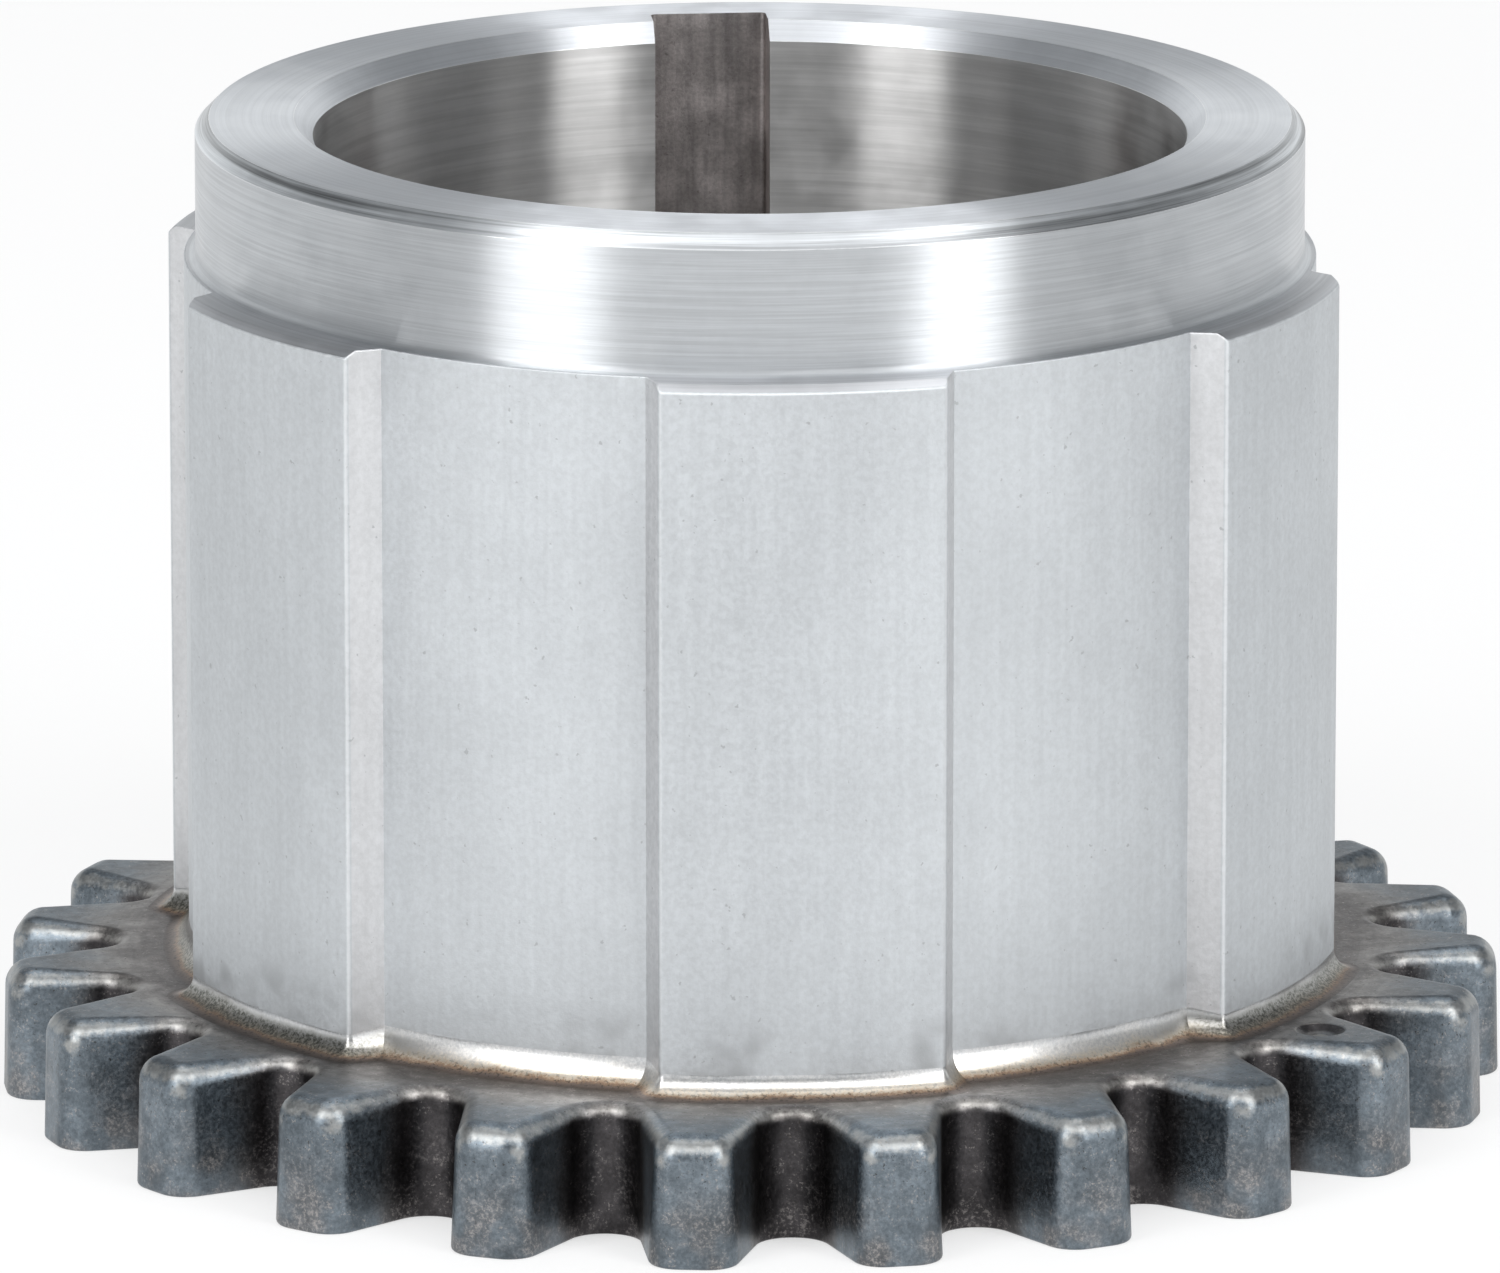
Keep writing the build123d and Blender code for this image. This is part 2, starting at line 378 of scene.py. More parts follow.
def land_half(offset):
    """Half of a land and of the groove beside it, with the land along +X, set out by an offset.
    Gives the land's side and the groove's as separate runs of points and normals."""
    outer_edge = sqrt(LAND_RADIUS**2 - LAND_HALF**2)
    along = np.array([cos(LAND_WALL_ANGLE), -sin(LAND_WALL_ANGLE)])
    outward = np.array([sin(LAND_WALL_ANGLE), cos(LAND_WALL_ANGLE)])
    start = np.array([outer_edge, LAND_HALF]) - LAND_EDGE * outward
    centre = start + way_to_circle(start, along, LAND_RADIUS - LAND_EDGE) * along
    leave = atan2(centre[1], centre[0])
    land_turn = np.linspace(0, leave, LAND_POINTS)
    corner_turn = np.linspace(leave, pi / 2 - LAND_WALL_ANGLE, LAND_EDGE_POINTS + 1)[1:]
    corner = centre + polar(LAND_EDGE + offset, corner_turn)
    length = way_to_circle(corner[-1], along, GROOVE_RADIUS + offset)
    wall = corner[-1] + np.linspace(0, length, WALL_POINTS + 1)[1:, None] * along
    points = np.concatenate([polar(LAND_RADIUS + offset, land_turn), corner, wall])
    normals = np.concatenate(
        [polar(1, land_turn), polar(1, corner_turn), np.tile(outward, (WALL_POINTS, 1))]
    )
    groove_turn = np.linspace(atan2(wall[-1][1], wall[-1][0]), pi / LAND_COUNT, GROOVE_POINTS)
    return points, normals, polar(GROOVE_RADIUS + offset, groove_turn), polar(1, groove_turn)


def barrel_runs(offset):
    """Round the barrel: a land with both its walls, then the groove after it, six times. Each run
    is its points, its outward normals and its kind."""
    land, land_normals, groove, groove_normals = land_half(offset)
    land, land_normals = mirrored_run(land), mirrored_run(land_normals)
    step = 360 / LAND_COUNT
    far_half = turned(groove[::-1] * ABOUT_X, step)[1:]
    far_normals = turned(groove_normals[::-1] * ABOUT_X, step)[1:]
    groove = np.concatenate([groove, far_half])
    groove_normals = np.concatenate([groove_normals, far_normals])
    runs = []
    for i in range(LAND_COUNT):
        direction = KEYWAY_DIRECTION + step * i
        runs.append((turned(land, direction), turned(land_normals, direction), "land"))
        runs.append((turned(groove, direction), turned(groove_normals, direction), "groove"))
    return runs


def closed_loop(plans):
    """One loop from runs that each start where the one before ends."""
    return np.concatenate([plan[:-1] for plan in plans])


def foot_height(run, kind):
    """Height of the foot fillet along a run: lower at the lands than in the grooves."""
    if kind == "groove":
        return np.full(len(run), FOOT_HEIGHT_AT_GROOVE)
    radius = np.hypot(*run.T)
    share = np.clip((LAND_RADIUS - radius) / (LAND_RADIUS - GROOVE_RADIUS), 0, 1)
    return FOOT_HEIGHT_AT_LAND + (FOOT_HEIGHT_AT_GROOVE - FOOT_HEIGHT_AT_LAND) * share


def shoulder_drop(radius):
    """How far the lands' turned chamfer drops below the shoulder, and how steeply. It is softened
    where it leaves the shoulder."""
    past = radius - (LAND_RADIUS - LAND_CHAMFER)
    soft = CHAMFER_SOFTNESS
    bend = np.clip(past + soft, 0, 2 * soft) ** 2 / (4 * soft)
    drop = np.where(past > soft, past, bend)
    return drop, np.clip((past + soft) / (2 * soft), 0, 1)


def run_marks(count, kind):
    """How worn each column of a run is, and whether it is on a land's wall. A land starts with
    its wall's points from the groove out, and then those of its rounded edge."""
    wear, wall = np.zeros(count), np.zeros(count)
    if kind == "land":
        edge = slice(WALL_POINTS, WALL_POINTS + LAND_EDGE_POINTS + 1)
        wear[edge] = np.sin(np.linspace(0, pi, LAND_EDGE_POINTS + 1))
        wear[0] = WALL_FOOT_WEAR
        wall[:WALL_POINTS + 1] = 1
    return np.maximum(wear, wear[::-1]), np.maximum(wall, wall[::-1])


def add_foot(skin, border, feet, level, height):
    """The fillet at the foot of a run, from a narrow border on the level rim up to the wall."""
    rows, normals = [raised(border, RIM_THICKNESS)], [np.tile(UP, (len(border), 1))]
    for turn, foot in zip(FOOT_TURNS, feet):
        rows.append(raised(foot, RIM_THICKNESS + height * (1 - sin(turn))))
        normals.append(level * (height * cos(turn))[:, None] + UP * FOOT_WIDTH * sin(turn))
    reach = np.concatenate([[1], FILLET_REACH * (FOOT_TURNS / (pi / 2))])
    skin.patch(rows, normals, "foot", gap=reach[:, None])


def add_wall(skin, plan, level, bottom, wear, wall):
    """The upright side of a run, from the fillet up to the broken edge."""
    drop, _ = shoulder_drop(np.hypot(*plan.T))
    top = SHOULDER_HEIGHT - drop - EDGE_BREAK
    shares = np.linspace(0, 1, BARREL_ROWS)
    rows = [raised(plan, bottom + (top - bottom) * share) for share in shares]
    skin.patch(rows, [level] * BARREL_ROWS, "barrel", wear=wear, gap=wall)


def add_broken_edge(skin, edges, level, wear, wall):
    """The rounded edge at the top of a run. Gives its last row and that row's normals."""
    rows, normals, worn = [], [], []
    for turn, edge in zip(BREAK_TURNS, edges):
        around = np.hypot(*edge.T)
        drop, rate = shoulder_drop(around)
        rows.append(raised(edge, SHOULDER_HEIGHT - drop - EDGE_BREAK * (1 - sin(turn))))
        radial = level_normals(edge / around[:, None])
        tilted = level * cos(turn) + UP * sin(turn)
        normals.append(tilted + radial * (rate * sin(turn))[:, None])
        worn.append(np.maximum(wear * cos(turn), sin(2 * turn)))
    skin.patch(rows, normals, "barrel", wear=np.array(worn), gap=wall)
    return rows[-1], normals[-1]


def add_land_chamfer(skin, row, row_normals):
    """From the broken edge over the lands' turned chamfer to the level shoulder. Gives the plan
    of its last row."""
    edge = row[:, :2]
    around = np.hypot(*edge.T)
    radial = level_normals(edge / around[:, None])
    rows, normals = [row], [row_normals]
    for share in CHAMFER_ROWS:
        clipped = np.minimum(around, LAND_RADIUS - LAND_CHAMFER + share * CHAMFER_SOFTNESS)
        drop, rate = shoulder_drop(clipped)
        rows.append(raised(edge * (clipped / around)[:, None], SHOULDER_HEIGHT - drop))
        normals.append(radial * rate[:, None] + UP)
    skin.patch(rows, normals, "shoulder")
    return rows[-1][:, :2]


def add_barrel(skin):
    """The lands and grooves from foot to shoulder. Gives the loops on the rim and the shoulder."""
    border = [plan for plan, _, _ in barrel_runs(FOOT_WIDTH + TINT_BORDER)]
    feet = [barrel_runs(FOOT_WIDTH * (1 - cos(turn))) for turn in FOOT_TURNS]
    edges = [barrel_runs(-EDGE_BREAK * (1 - cos(turn))) for turn in BREAK_TURNS]
    shoulder = []
    for index, (plan, outward, kind) in enumerate(barrel_runs(0.0)):
        level = level_normals(outward)
        height = foot_height(plan, kind)
        wear, wall = run_marks(len(plan), kind)
        add_foot(skin, border[index], [foot[index][0] for foot in feet], level, height)
        add_wall(skin, plan, level, RIM_THICKNESS + height, wear, wall)
        own_edges = [edge[index][0] for edge in edges]
        row, row_normals = add_broken_edge(skin, own_edges, level, wear, wall)
        shoulder.append(add_land_chamfer(skin, row, row_normals))
    return closed_loop(border), closed_loop(shoulder)


# The collar, the bore and the keyway

def profile(corners):
    """An upright profile through (radius, height, rounding) corners, with its normals, without
    its two ends. The normals point to the right of the way it runs."""
    points, normals = [], []
    for before, corner, after in zip(corners, corners[1:], corners[2:]):
        here = np.array(corner[:2])
        back, ahead = unit(np.array(before[:2]) - here), unit(np.array(after[:2]) - here)
        half = acos(np.clip(back @ ahead, -1, 1)) / 2
        reach = corner[2] / tan(half)
        centre = here + unit(back + ahead) * corner[2] / sin(half)
        start = here + back * reach - centre
        end = here + ahead * reach - centre
        right = np.array([-back[1], back[0]])
        bulge = 1 if start @ right > 0 else -1
        for i in range(CORNER_ROWS):
            share = i / (CORNER_ROWS - 1)
            spoke = unit(start * (1 - share) + end * share)
            points.append(centre + spoke * corner[2])
            normals.append(spoke * bulge)
    return np.array(points), np.array(normals)


def revolved(points, normals, angles):
    """Rows of points and normals round the axis. The angles may differ from row to row."""
    angles = np.broadcast_to(angles, (len(points), np.shape(angles)[-1]))
    around = np.stack([np.cos(angles), np.sin(angles)], 2)
    rows = np.concatenate([around * points[:, :1, None], np.zeros(angles.shape + (1,))], 2)
    rows[:, :, 2] = points[:, 1:2]
    slopes = np.concatenate([around * normals[:, :1, None], np.zeros(angles.shape + (1,))], 2)
    slopes[:, :, 2] = normals[:, 1:2]
    return rows, slopes


def add_bands(skin, rows, slopes, worn_corners, bands, closed=False):
    """A revolved profile, worn along some of its rounded corners and split into bands, each given
    as its first row, its last row and its finish."""
    wear = np.zeros(rows.shape[:2])
    for corner in worn_corners:
        first = corner * CORNER_ROWS
        wear[first:first + CORNER_ROWS] = np.sin(np.linspace(0, pi, CORNER_ROWS))[:, None]
    for first, last, finish in bands:
        part = slice(first, last + 1)
        skin.patch(rows[part], slopes[part], finish, closed=closed, wear=wear[part])


def add_collar(skin):
    """The collar with its foot fillet and chamfer. Gives the loops at its foot and top."""
    points, normals = profile(
        [
            (COLLAR_RADIUS + PROFILE_LEAD, SHOULDER_HEIGHT, 0),
            (COLLAR_RADIUS, SHOULDER_HEIGHT, COLLAR_FOOT),
            (COLLAR_RADIUS, HEIGHT - COLLAR_CHAMFER, EDGE_BREAK),
            (COLLAR_RADIUS - COLLAR_CHAMFER, HEIGHT, EDGE_BREAK),
            (COLLAR_RADIUS - PROFILE_LEAD, HEIGHT, 0),
        ]
    )
    around = np.linspace(0, 2 * pi, COLLAR_POINTS + 1)[:-1]
    rows, slopes = revolved(points, normals, around)
    chamfer_start = CORNER_ROWS + FINISH_ROW
    chamfer_end = 2 * CORNER_ROWS + FINISH_ROW
    bands = [
        (0, chamfer_start, "collar"),
        (chamfer_start, chamfer_end, "chamfer"),
        (chamfer_end, len(rows) - 1, "face"),
    ]
    add_bands(skin, rows, slopes, (1, 2), bands, closed=True)
    return rows[0][:, :2], rows[-1][:, :2]


def slot_run(radius):
    """The keyway in plan, from its right-hand mouth edge round to the left-hand one."""
    mouth = sqrt(radius**2 - KEYWAY_HALF**2)
    deep = KEYWAY_FLOOR - KEYWAY_CORNER
    wall = np.linspace(mouth, deep, SLOT_WALL_POINTS + 1)[:-1]
    turn = np.linspace(0, pi / 2, SLOT_CORNER_POINTS)
    corner = polar(KEYWAY_CORNER, turn) + [KEYWAY_HALF - KEYWAY_CORNER, deep]
    floor = np.linspace(KEYWAY_HALF - KEYWAY_CORNER, 0, SLOT_FLOOR_POINTS + 1)[1:]
    right = np.concatenate(
        [
            np.column_stack([np.full(SLOT_WALL_POINTS, KEYWAY_HALF), wall]),
            corner,
            np.column_stack([floor, np.full(SLOT_FLOOR_POINTS, KEYWAY_FLOOR)]),
        ]
    )
    normals = np.concatenate(
        [
            np.tile([-1.0, 0.0], (SLOT_WALL_POINTS, 1)),
            -polar(1, turn),
            np.tile([0.0, -1.0], (SLOT_FLOOR_POINTS, 1)),
        ]
    )
    return (
        np.concatenate([right, right[-2::-1] * ABOUT_Y]),
        np.concatenate([normals, normals[-2::-1] * ABOUT_Y]),
    )


def add_bore(skin):
    """The bore with its two chamfers, and the keyway. The rows run down, because they are seen
    from inside. Gives the loops at the top and the bottom."""
    points, normals = profile(
        [
            (BORE_RADIUS + PROFILE_LEAD, HEIGHT, 0),
            (BORE_RADIUS + BORE_CHAMFER, HEIGHT, EDGE_BREAK),
            (BORE_RADIUS, HEIGHT - BORE_CHAMFER, EDGE_BREAK),
            (BORE_RADIUS, BORE_CHAMFER, EDGE_BREAK),
            (BORE_RADIUS + BORE_CHAMFER, 0, EDGE_BREAK),
            (BORE_RADIUS + PROFILE_LEAD, 0, 0),
        ]
    )
    mouth = np.arcsin(KEYWAY_HALF / points[:, 0])[:, None]
    start, end = pi / 2 + mouth, 5 * pi / 2 - mouth
    rows, slopes = revolved(
        points, normals, start + (end - start) * np.linspace(0, 1, BORE_POINTS)
    )
    bore_start = 2 * CORNER_ROWS - 1 - FINISH_ROW
    bore_end = 2 * CORNER_ROWS + FINISH_ROW
    bands = [
        (0, bore_start, "face"),
        (bore_start, bore_end, "bore"),
        (bore_end, len(rows) - 1, "face"),
    ]
    add_bands(skin, rows, slopes, (0, 1), bands)
    slot_rows, slot_normals = [], []
    for radius, height in points:
        run, outward = slot_run(radius)
        slot_rows.append(raised(run, height))
        slot_normals.append(level_normals(outward))
    skin.patch(slot_rows, slot_normals, "keyway")
    loops = []
    for row, radius in ((rows[0], points[0][0]), (rows[-1], points[-1][0])):
        run, _ = slot_run(radius)
        loops.append(np.concatenate([row[:, :2], run[1:-1]]))
    return loops


def add_mark(skin):
    """The timing mark: a round dimple with a softened rim, painted shade on its wall and a painted
    highlight in its middle. Gives the loop round it.
    """
    direction = KEYWAY_DIRECTION - TOOTH_OFFSET - TOOTH_PITCH * MARK_TOOTH
    centre = turned(np.array([[MARK_PLACE, 0.0]]), direction)
    ball = (MARK_RADIUS**2 + MARK_DEPTH**2) / (2 * MARK_DEPTH)
    turn = np.linspace(0, 2 * pi, MARK_POINTS + 1)[:-1]
    rows, normals = [], []
    for radius in MARK_RINGS:
        if radius > MARK_RADIUS - MARK_SOFTNESS:
            rise = MARK_RADIUS + MARK_SOFTNESS - radius
            drop, slope = MARK_RIM_CURVE * rise**2, 2 * MARK_RIM_CURVE * rise
        else:
            drop = sqrt(ball**2 - radius**2) - (ball - MARK_DEPTH)
            slope = radius / sqrt(ball**2 - radius**2)
        rows.append(raised(centre + polar(radius, turn), RIM_THICKNESS - drop))
        normals.append(np.column_stack([polar(-slope, turn), np.ones(len(turn))]))
    # Painted shade on the dimple's wall, through the gap mark, and a painted highlight in its
    # middle, through the wear mark; only the rim's wear is wear.
    painted_shade = np.interp(MARK_RINGS, MARK_PAINTED_SHADE_RADII, (0, 1, 1, 0))[:, None]
    worn = np.interp(MARK_RINGS, MARK_HIGHLIGHT_AND_WEAR_RADII, (1, 0, 0, MARK_RIM_WEAR))[:, None]
    skin.patch(rows, normals, "teeth", closed=True, wear=worn, gap=painted_shade)
    return rows[0][:, :2]


FINISHES = ["face", "chamfer", "collar", "shoulder", "barrel", "foot", "teeth", "bore", "keyway"]


def sprocket_skin():
    skin = Skin()
    bottom_outline, top_outline = add_teeth(skin)
    foot_loop, shoulder_loop = add_barrel(skin)
    collar_foot, collar_top = add_collar(skin)
    bore_top, bore_bottom = add_bore(skin)
    mark_loop = add_mark(skin)
    skin.flat([top_outline, foot_loop, mark_loop], RIM_THICKNESS, "teeth")
    skin.flat([shoulder_loop, collar_foot], SHOULDER_HEIGHT, "shoulder")
    skin.flat([collar_top, bore_top], HEIGHT, "face")
    skin.flat([bottom_outline, bore_bottom], 0.0, "face", upward=False)
    return skin


skin = sprocket_skin()
mesh = skin.mesh("sprocket_body", FINISHES)
body = bpy.data.objects.new("sprocket_body", mesh)
bpy.context.scene.collection.objects.link(body)
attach(body, "root")
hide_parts(NODE)


# Small steps that the effects and materials are built from

NOISE_LOW = 0.3              # nearly all of a noise lies between these two
NOISE_HIGH = 0.7
NOISE_MIDDLE = 0.5
MIX_FIRST = 6                # the colour sockets of a Mix node
MIX_SECOND = 7
MIX_RESULT = 2


def add_node(tree, kind, inputs=None, **settings):
    node = tree.nodes.new(kind)
    for name, value in settings.items():
        setattr(node, name, value)
    for name, value in (inputs or {}).items():
        if isinstance(value, bpy.types.NodeSocket):
            tree.links.new(value, node.inputs[name])
        else:
            node.inputs[name].default_value = value
    return node


def calculate(tree, operation, *values):
    inputs = dict(enumerate(values))
    return add_node(tree, "ShaderNodeMath", inputs, operation=operation).outputs[0]


def product(tree, first, *others):
    for other in others:
        first = calculate(tree, "MULTIPLY", first, other)
    return first


def from_middle(tree, pattern):
    """A noise counted from its middle, so that it goes both ways."""
    return calculate(tree, "SUBTRACT", pattern, NOISE_MIDDLE)


def span(tree, value, low, high, start=0.0, end=1.0):
    """A smooth step from start to end as the value goes from low to high."""
    inputs = {"Value": value, "From Min": low, "From Max": high, "To Min": start, "To Max": end}
    node = add_node(tree, "ShaderNodeMapRange", inputs, interpolation_type="SMOOTHSTEP")
    return node.outputs["Result"]


def spread(tree, pattern, start, end):
    """A noise spread from start to end over its whole range."""
    return span(tree, pattern, NOISE_LOW, NOISE_HIGH, start, end)


def as_colour(value):
    return value if isinstance(value, bpy.types.NodeSocket) else (*value, 1)


def mixed(tree, factor, first, second):
    """One colour laid over another by a mask."""
    inputs = {"Factor": factor, MIX_FIRST: as_colour(first), MIX_SECOND: as_colour(second)}
    return add_node(tree, "ShaderNodeMix", inputs, data_type="RGBA").outputs[MIX_RESULT]


def tinted(tree, colour, shade):
    """A colour made lighter or darker by a shade around 1."""
    inputs = {"Factor": 1.0, MIX_FIRST: as_colour(colour), MIX_SECOND: shade}
    node = add_node(tree, "ShaderNodeMix", inputs, data_type="RGBA", blend_type="MULTIPLY")
    return node.outputs[MIX_RESULT]


def noise(tree, vector, scale, detail=2.0, roughness=0.5):
    inputs = {"Vector": vector, "Scale": scale, "Detail": detail, "Roughness": roughness}
    return add_node(tree, "ShaderNodeTexNoise", inputs).outputs["Fac"]


def scaled(tree, vector, factor):
    inputs = {0: vector, "Scale": factor}
    return add_node(tree, "ShaderNodeVectorMath", inputs, operation="SCALE").outputs[0]


def separated(tree, vector):
    return add_node(tree, "ShaderNodeSeparateXYZ", {0: vector}).outputs


def combined(tree, x, y, z):
    return add_node(tree, "ShaderNodeCombineXYZ", {0: x, 1: y, 2: z}).outputs[0]


def place(tree):
    """The object's own coordinates in millimetres."""
    return scaled(tree, add_node(tree, "ShaderNodeTexCoord").outputs["Object"], 1 / MM)


def across_and_up(tree, millimetres):
    """Distance from the axis, and height."""
    x, y, z = separated(tree, millimetres)
    squares = [calculate(tree, "MULTIPLY", part, part) for part in (x, y)]
    return calculate(tree, "SQRT", calculate(tree, "ADD", *squares)), z


def mesh_mark(tree, name):
    """One of the marks that the mesh carries."""
    return add_node(tree, "ShaderNodeAttribute", attribute_name=name).outputs["Fac"]


# Shader effects, each a node group placed in the materials that need it

LINES_UP_WALLS = 0.37        # how dense turned lines are up a wall, against across a face
PIT_EDGE = 0.05              # how sharply a pit starts
WEAR_EDGE = 0.45             # how softly wear starts


def new_effect(name, inputs, outputs):
    """An empty node group. Inputs have their usual values, outputs their socket types."""
    tree = bpy.data.node_groups.new(name, "ShaderNodeTree")
    for label, value in inputs.items():
        socket = tree.interface.new_socket(label, in_out="INPUT", socket_type="NodeSocketFloat")
        socket.default_value = value
    for label in outputs:
        tree.interface.new_socket(label, in_out="OUTPUT", socket_type="NodeSocketFloat")
    return tree, tree.nodes.new("NodeGroupInput").outputs


def finish_effect(tree, outputs):
    out = tree.nodes.new("NodeGroupOutput")
    for label, socket in outputs.items():
        tree.links.new(socket, out.inputs[label])
    return tree


def turned_lines_effect():
    """Fine rings left by a lathe tool, round the axis on faces, chamfers and walls alike."""
    tree, given = new_effect("turned_lines", {"Lines": 6.0, "Drift": 0.03}, ["Shade"])
    millimetres = place(tree)
    radius, height = across_and_up(tree, millimetres)
    along = calculate(tree, "MULTIPLY_ADD", height, LINES_UP_WALLS, radius)
    lines = product(tree, along, given["Lines"])
    drift = separated(tree, scaled(tree, millimetres, given["Drift"]))
    vector = combined(tree, lines, drift[0], drift[1])
    shade = noise(tree, vector, scale=1.0, detail=4.0, roughness=0.62)
    return finish_effect(tree, {"Shade": shade})


def pulled_grain_effect():
    """Streaks along the axis, as a broach or a hob leaves them."""
    tree, given = new_effect("pulled_grain", {"Across": 5.0, "Along": 0.2}, ["Shade"])
    stretch = combined(tree, given["Across"], given["Across"], given["Along"])
    inputs = {0: place(tree), 1: stretch}
    vector = add_node(tree, "ShaderNodeVectorMath", inputs, operation="MULTIPLY").outputs[0]
    shade = noise(tree, vector, scale=1.0, detail=3.0, roughness=0.6)
    return finish_effect(tree, {"Shade": shade})


def speckle_effect():
    """A fine matt grain, and scattered pits."""
    tree, given = new_effect("speckle", {"Grain": 5.0, "Pits": 2.2, "Rarity": 0.7}, ["Shade", "Pit"])
    vector = place(tree)
    grain = noise(tree, vector, given["Grain"], detail=3.0, roughness=0.7)
    spots = noise(tree, vector, given["Pits"], detail=2.0, roughness=0.55)
    full = calculate(tree, "ADD", given["Rarity"], PIT_EDGE)
    pit = span(tree, spots, given["Rarity"], full)
    return finish_effect(tree, {"Shade": grain, "Pit": pit})


def cloud_effect():
    """Soft uneven patches."""
    tree, given = new_effect("cloud", {"Patches": 0.3, "Detail": 4.0}, ["Shade"])
    shade = noise(tree, place(tree), given["Patches"], given["Detail"], roughness=0.6)
    return finish_effect(tree, {"Shade": shade})


def worn_edge_effect():
    """Where handling has polished an edge, broken up by its grain. On the teeth this edge mark is
    partly a painted highlight, and in the middle of the timing mark it is only a painted highlight.
    """
    tree, given = new_effect("worn_edge", {"Start": 0.5, "Grain": 2.5, "Uneven": 1.3}, ["Mask"])
    grain = noise(tree, place(tree), given["Grain"], detail=4.0, roughness=0.7)
    uneven = product(tree, from_middle(tree, grain), given["Uneven"])
    worn = calculate(tree, "ADD", mesh_mark(tree, "wear"), uneven)
    full = calculate(tree, "ADD", given["Start"], WEAR_EDGE)
    return finish_effect(tree, {"Mask": span(tree, worn, given["Start"], full)})


EFFECTS = {
    tree.name: tree
    for tree in (
        turned_lines_effect(),
        pulled_grain_effect(),
        speckle_effect(),
        cloud_effect(),
        worn_edge_effect(),
    )
}


def use(tree, effect, **values):
    """One of the effects in a material, with this material's values."""
    node = add_node(tree, "ShaderNodeGroup", node_tree=EFFECTS[effect])
    for label, value in values.items():
        node.inputs[label].default_value = value
    return node.outputs


# Colours of the steel

BRIGHT = (0.705, 0.725, 0.755)
COLLAR_GREY = (0.62, 0.64, 0.66)
CHAMFER_GREY = (0.62, 0.64, 0.66)
SHOULDER_GREY = (0.54, 0.55, 0.57)
SATIN = (0.59, 0.612, 0.63)
WALL_STEEL = (0.645, 0.65, 0.66)
WORN_STEEL = (0.85, 0.86, 0.87)
PIT_GREY = (0.4, 0.41, 0.42)
BORE_GREY = (0.575, 0.57, 0.565)
SLOT_BROWN = (0.48, 0.44, 0.43)
OXIDE = (0.172, 0.202, 0.228)
RIM_GREY = (0.266, 0.252, 0.241)
# painted shade, laid deep in the tooth gaps and in the timing mark's ring
GAP_PAINTED_SHADE = (0.064, 0.06, 0.062)
LOW_BROWN = (0.17, 0.165, 0.165)
RUBBED_BROWN = (0.42, 0.39, 0.37)
# pale, for worn edges and for the painted highlights on the teeth's edges and in the timing mark's
# middle
WORN_AND_HIGHLIT_OXIDE = (0.52, 0.51, 0.48)
SOOT = (0.05, 0.045, 0.04)
TINT_BROWN = (0.12, 0.105, 0.1)
# a painted dark reflection on the foot's left and right sides
PAINTED_DARK_GREEN = (0.1, 0.102, 0.088)
HEAT_COLOURS = [
    (0, (0.64, 0.65, 0.66)),
    (0.28, (0.72, 0.7, 0.67)),
    (0.43, (0.72, 0.65, 0.55)),
    (0.5, (0.56, 0.45, 0.34)),
    (0.56, (0.34, 0.23, 0.155)),
    (0.64, (0.2, 0.155, 0.13)),
    (0.8, (0.14, 0.115, 0.105)),
    (0.98, (0.13, 0.113, 0.107)),
]

# Places in millimetres: where a change of finish starts, and where it is full
SMUDGE_HEIGHTS = (9.4, 7.0)
PAINTED_DARK_SIDES = (14.0, 19.0)       # to the left and right of the middle: the foot's painted dark reflection
GREY_RIM_RADII = (30.0, 27.0)
BROWN_RIM_RADII = (27.6, 25.6)
LOW_TOOTH_HEIGHTS = (4.2, 1.0)
PITTED_HEIGHTS = (1.5, 4.5)
RIM_WANDER = 0.6                 # how far those radii wander in and out

ACROSS_THE_RINGS = 0.25          # turns from the tangent to the way that highlights spread


# Materials

def new_steel(name, **constants):
    """A metal with its own tree and shader; the constants sit on the shader's sockets."""
    material = bpy.data.materials.new(name)
    material.use_nodes = True
    tree = material.node_tree
    shader = tree.nodes["Principled BSDF"]
    shader.inputs["Metallic"].default_value = 1.0
    for label, value in constants.items():
        shader.inputs[label.replace("_", " ")].default_value = value
    return material, tree, shader


def set_finish(tree, shader, colour, roughness, relief, depth):
    """Colour, roughness and relief, whose depth is in millimetres."""
    tree.links.new(colour, shader.inputs["Base Color"])
    tree.links.new(roughness, shader.inputs["Roughness"])
    inputs = {"Height": relief, "Distance": depth * MM, "Strength": 1.0}
    bump = add_node(tree, "ShaderNodeBump", inputs)
    tree.links.new(bump.outputs["Normal"], shader.inputs["Normal"])


def turned_steel(name, colour, rough, lines, contrast, depth, anisotropy, drift=0.03):
    """Lathe-turned steel, bright or dull by its colour. Its highlights spread across the rings."""
    material, tree, shader = new_steel(
        name, Anisotropic=anisotropy, Anisotropic_Rotation=ACROSS_THE_RINGS
    )
    rings = use(tree, "turned_lines", Lines=lines, Drift=drift)["Shade"]
    patches = use(tree, "cloud", Patches=0.35)["Shade"]
    worn = use(tree, "worn_edge", Start=0.55, Uneven=0.8)["Mask"]
    shade = product(
        tree,
        spread(tree, rings, 1 - contrast, 1 + contrast * 0.5),
        spread(tree, patches, 0.94, 1.04),
    )
    base = mixed(tree, worn, tinted(tree, colour, shade), WORN_STEEL)
    roughness = spread(tree, patches, rough - 0.04, rough + 0.05)
    set_finish(tree, shader, base, roughness, rings, depth)
    tangent = add_node(tree, "ShaderNodeTangent", direction_type="RADIAL", axis="Z")
    tree.links.new(tangent.outputs[0], shader.inputs["Tangent"])
    return material


